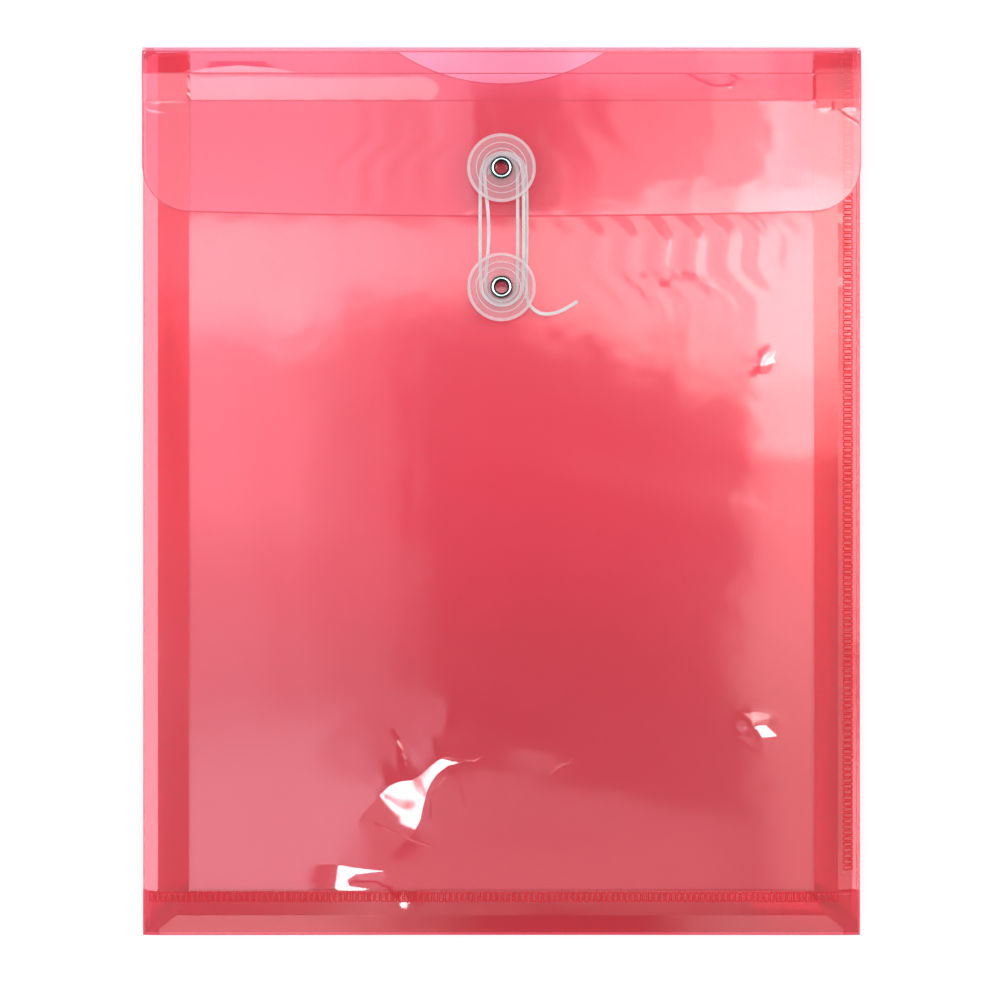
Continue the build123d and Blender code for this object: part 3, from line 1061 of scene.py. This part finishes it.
def string():
    """A core along the route in a braid of eight yarns: four wind one way and four the other."""
    step, sides = 0.25, 6
    core_radius, yarn_radius, braid_radius, weave = 0.36, 0.17, 0.41, 0.05
    lay_length = 6.4
    line, places = evenly(spline_line(string_route()), step)
    side, rise = side_vectors(line)
    turn = 2 * math.pi * places / lay_length
    points, faces, face_materials = [], [], []

    def add_tube(centres, outward, around, radius, material):
        first = len(points)
        rolls = [2 * math.pi * k / sides for k in range(sides)]
        for centre, out, about in zip(centres, outward, around):
            points.extend(centre + radius * (out * math.cos(r) + about * math.sin(r)) for r in rolls)
        walls = grid_faces(len(centres), sides, closed_columns=True, first=first)
        faces.extend((a, d, c, b) for a, b, c, d in walls)
        last = len(points) - sides
        faces.append(tuple(range(first, first + sides)))
        faces.append(tuple(range(last, last + sides))[::-1])
        face_materials.extend([material] * (len(faces) - len(face_materials)))

    # The core's darker colour is painted shade between the yarns.
    add_tube(line, side, rise, core_radius, 1)
    for direction in (1, -1):
        for number in range(4):
            angle = direction * turn + math.pi / 2 * number + (0 if direction > 0 else math.pi / 4)
            radius = braid_radius + direction * weave * np.cos(4 * turn - math.pi / 2)
            cosine, sine = np.cos(angle)[:, None], np.sin(angle)[:, None]
            outward = side * cosine + rise * sine
            add_tube(line + outward * radius[:, None], outward, rise * cosine - side * sine, yarn_radius, 0)
    piece = new_piece("braided_string", points, faces, [yarn, core_yarn_painted_shade], face_materials)
    dress(piece, "flap", "string", "string_winding", "string_tail")
    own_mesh(piece)


# Stage


def floor():
    """A plain white floor."""
    reach = 4000.0
    floor_z = -0.15
    material, add = new_material("white_floor")
    paint = add("BsdfDiffuse", {"Color": (0.93, 0.93, 0.93, 1)})
    glow = add("Emission", {"Color": (1, 1, 1, 1), "Strength": 0.14})
    white = add("AddShader", links={0: paint.outputs[0], 1: glow.outputs[0]})
    seen = add("LightPath").outputs["Is Camera Ray"]
    show(add, mix(add, seen, paint, white))
    corners = [(x, y, floor_z) for x, y in rectangle(-reach, -reach, reach, reach)]
    new_piece("floor", corners, [(0, 1, 2, 3)], [material])


# Soft boxes overhead, round a gap for the camera: name, low and high x, low and high y, radiance,
# the widths over which the sides, the low end and the high end fade, and tone
soft_box_height, soft_box_step = 1.5, 0.003
cool, plain, warm = (0.8, 0.95, 1.05), (1, 1, 1), (1, 0.98, 0.91)
soft_boxes = [
    ("top_left", -0.5, -0.13, 0.27, 0.56, 2.3, (0.06, 0.02, 0.02), cool),
    ("top_middle_left", -0.13, -0.03, 0.27, 0.56, 1.6, (0.06, 0.02, 0.02), cool),
    ("top_middle_right", 0.06, 0.2, 0.27, 0.56, 1.8, (0.05, 0.02, 0.02), plain),
    ("top_right", 0.2, 0.27, 0.27, 0.56, 2.7, (0.02, 0.02, 0.02), warm),
    ("middle_1", -0.5, -0.22, 0.167, 0.27, 6.2, (0.05, 0.06, 0.02), plain),
    ("middle_2", -0.22, -0.15, 0.162, 0.27, 5.8, (0.05, 0.06, 0.02), plain),
    ("middle_3", -0.15, -0.08, 0.19, 0.27, 5.2, (0.05, 0.06, 0.02), plain),
    ("middle_4", -0.08, 0.03, 0.19, 0.27, 4.4, (0.05, 0.06, 0.02), plain),
    ("middle_5", 0.03, 0.1, 0.168, 0.27, 4.9, (0.05, 0.04, 0.02), warm),
    ("middle_6", 0.1, 0.17, 0.15, 0.27, 5.8, (0.05, 0.05, 0.02), warm),
    ("middle_7", 0.17, 0.234, 0.13, 0.27, 6.1, (0.02, 0.06, 0.02), warm),
    ("right_top", 0.258, 0.44, 0.27, 0.4, 5.8, (0.01, 0.02, 0.02), warm),
    ("right_corner", 0.28, 0.46, 0.42, 0.66, 1.6, (0.02, 0.02, 0.02), warm),
    ("right", 0.236, 0.44, 0.12, 0.27, 10.6, (0.02, 0.05, 0.02), warm),
    ("right_middle", 0.244, 0.44, 0.044, 0.12, 7.2, (0.02, 0.04, 0.05), warm),
    ("right_side", 0.245, 0.44, -0.2, 0.044, 1.3, (0.03, 0.36, 0.04), warm),
    ("right_outer", 0.5, 0.72, 0.1, 0.4, 7.4, (0.04, 0.2, 0.04), warm),
    ("right_low", 0.262, 0.56, -0.45, 0.08, 1.7, (0.05, 0.1, 0.1), warm),
    ("left_outer", -0.72, -0.52, 0.19, 0.4, 1.5, (0.04, 0.1, 0.04), cool),
    ("left_fill", -0.72, -0.52, -0.5, 0.17, 0.4, (0.04, 0.1, 0.04), cool),
    ("right_fill", 0.54, 0.74, -0.5, 0.08, 0.45, (0.04, 0.1, 0.04), warm),
    ("left_upper", -0.5, -0.2, -0.02, 0.175, 2.9, (0.14, 0.1, 0.06), cool),
    ("left", -0.5, -0.22, -0.25, -0.02, 1.9, (0.1, 0.1, 0.1), cool),
    ("left_inner", -0.22, -0.09, -0.25, 0.2, 1.2, (0.05, 0.1, 0.06), cool),
    ("left_low", -0.5, -0.12, -0.5, -0.25, 3.0, (0.12, 0.1, 0.1), cool),
    ("bottom", -0.12, 0.25, -0.6, -0.34, 0.95, (0.12, 0.05, 0.05), plain),
    ("far_left", -1.25, -0.75, -0.5, 0.5, 6.5, (0.05, 0.1, 0.1), cool),
    ("far_right", 0.8, 1.2, -0.5, 0.5, 5.0, (0.05, 0.1, 0.1), plain),
    ("far_bottom_left", -0.6, -0.1, -0.9, -0.64, 2.5, (0.2, 0.05, 0.05), plain),
    ("far_bottom_right", 0.18, 0.45, -0.9, -0.64, 2.0, (0.1, 0.05, 0.05), plain),
    ("spark", 0.06, 0.09, -0.519, -0.488, 38.0, (0.008, 0.008, 0.008), plain),
    ("spark_low", -0.165, -0.1, -0.685, -0.622, 30.0, (0.01, 0.01, 0.01), plain),
    ("spark_upper", 0.385, 0.43, 0.095, 0.16, 32.0, (0.01, 0.01, 0.01), plain),
    ("spark_right", 0.42, 0.48, -0.49, -0.43, 32.0, (0.01, 0.01, 0.01), plain),
]


def soft_box(number, name, low_x, high_x, low_y, high_y, radiance, fades, tone):
    """One soft box that faces straight down. Each is a little higher than the one before."""
    side_fade, low_fade, high_fade = fades
    width = high_x - low_x + side_fade
    length = high_y - low_y + (low_fade + high_fade) / 2
    centre_y = (low_y - low_fade / 2 + high_y + high_fade / 2) / 2
    lamp = bpy.data.lights.new(f"soft_box_{name}", "AREA")
    lamp.shape = "RECTANGLE"
    lamp.size, lamp.size_y = width, length
    lamp.energy = radiance * math.pi * width * length
    lamp.color = tone
    lamp.use_nodes = True
    add = node_adder(lamp.node_tree)
    place = add("SeparateXYZ", links={0: add("NewGeometry").outputs["Position"]})
    steps = []
    for axis, edge, fade in (
        ("X", low_x, side_fade),
        ("X", high_x, -side_fade),
        ("Y", low_y, low_fade),
        ("Y", high_y, -high_fade),
    ):
        limits = {"From Min": edge - fade / 2, "From Max": edge + fade / 2}
        step = add("MapRange", limits, {"Value": place.outputs[axis]}, interpolation_type="SMOOTHSTEP")
        steps.append(step.outputs[0])
    strength = steps[0]
    for step in steps[1:]:
        strength = add("Math", links={0: strength, 1: step}, operation="MULTIPLY").outputs[0]
    glow = add("Emission", links={"Strength": strength})
    add("OutputLight", links={"Surface": glow.outputs[0]})
    holder = bpy.data.objects.new(f"soft_box_{name}", lamp)
    holder.location = ((low_x + high_x) / 2, centre_y, soft_box_height + soft_box_step * number)
    bpy.context.scene.collection.objects.link(holder)


def lights():
    """The soft boxes, and a dim even surround that is darkest straight overhead."""
    for number, box in enumerate(soft_boxes):
        soft_box(number, *box)
    world = bpy.data.worlds.new("studio")
    bpy.context.scene.world = world
    world.use_nodes = True
    add = node_adder(world.node_tree)
    place = add("SeparateXYZ", links={0: add("TexCoord").outputs["Generated"]})
    fade = {"From Min": 0.985, "From Max": 1.0, "To Min": 0.3, "To Max": 0.1}
    strength = add("MapRange", fade, {"Value": place.outputs["Z"]})
    surround = add("Background", {"Color": (1, 1, 1, 1)}, {"Strength": strength.outputs[0]})
    add("OutputWorld", links={"Surface": surround.outputs[0]})


def camera():
    """Straight down, with the photograph's framing."""
    frame_width = 336.1
    centre_x, centre_y = -0.5, -2.86
    distance = 800.0
    data = bpy.data.cameras.new("camera")
    data.lens = data.sensor_width * distance / frame_width
    data.clip_start, data.clip_end = 0.01, 50
    holder = bpy.data.objects.new("camera", data)
    holder.location = Vector((centre_x, centre_y, front_high.z + distance)) * MM
    bpy.context.scene.collection.objects.link(holder)
    bpy.context.scene.camera = holder


camera()
string()
back_film()
front_film()
seam_tab()
gusset()
flap_film()
fold_films()
welds()
closure("upper", upper_y, flap_high.z, "flap")
closure("lower", lower_y, front_high.z, "front")
floor()
lights()
bpy.context.scene.view_settings.view_transform = "Standard"
bpy.context.scene.cycles.transparent_max_bounces = 48
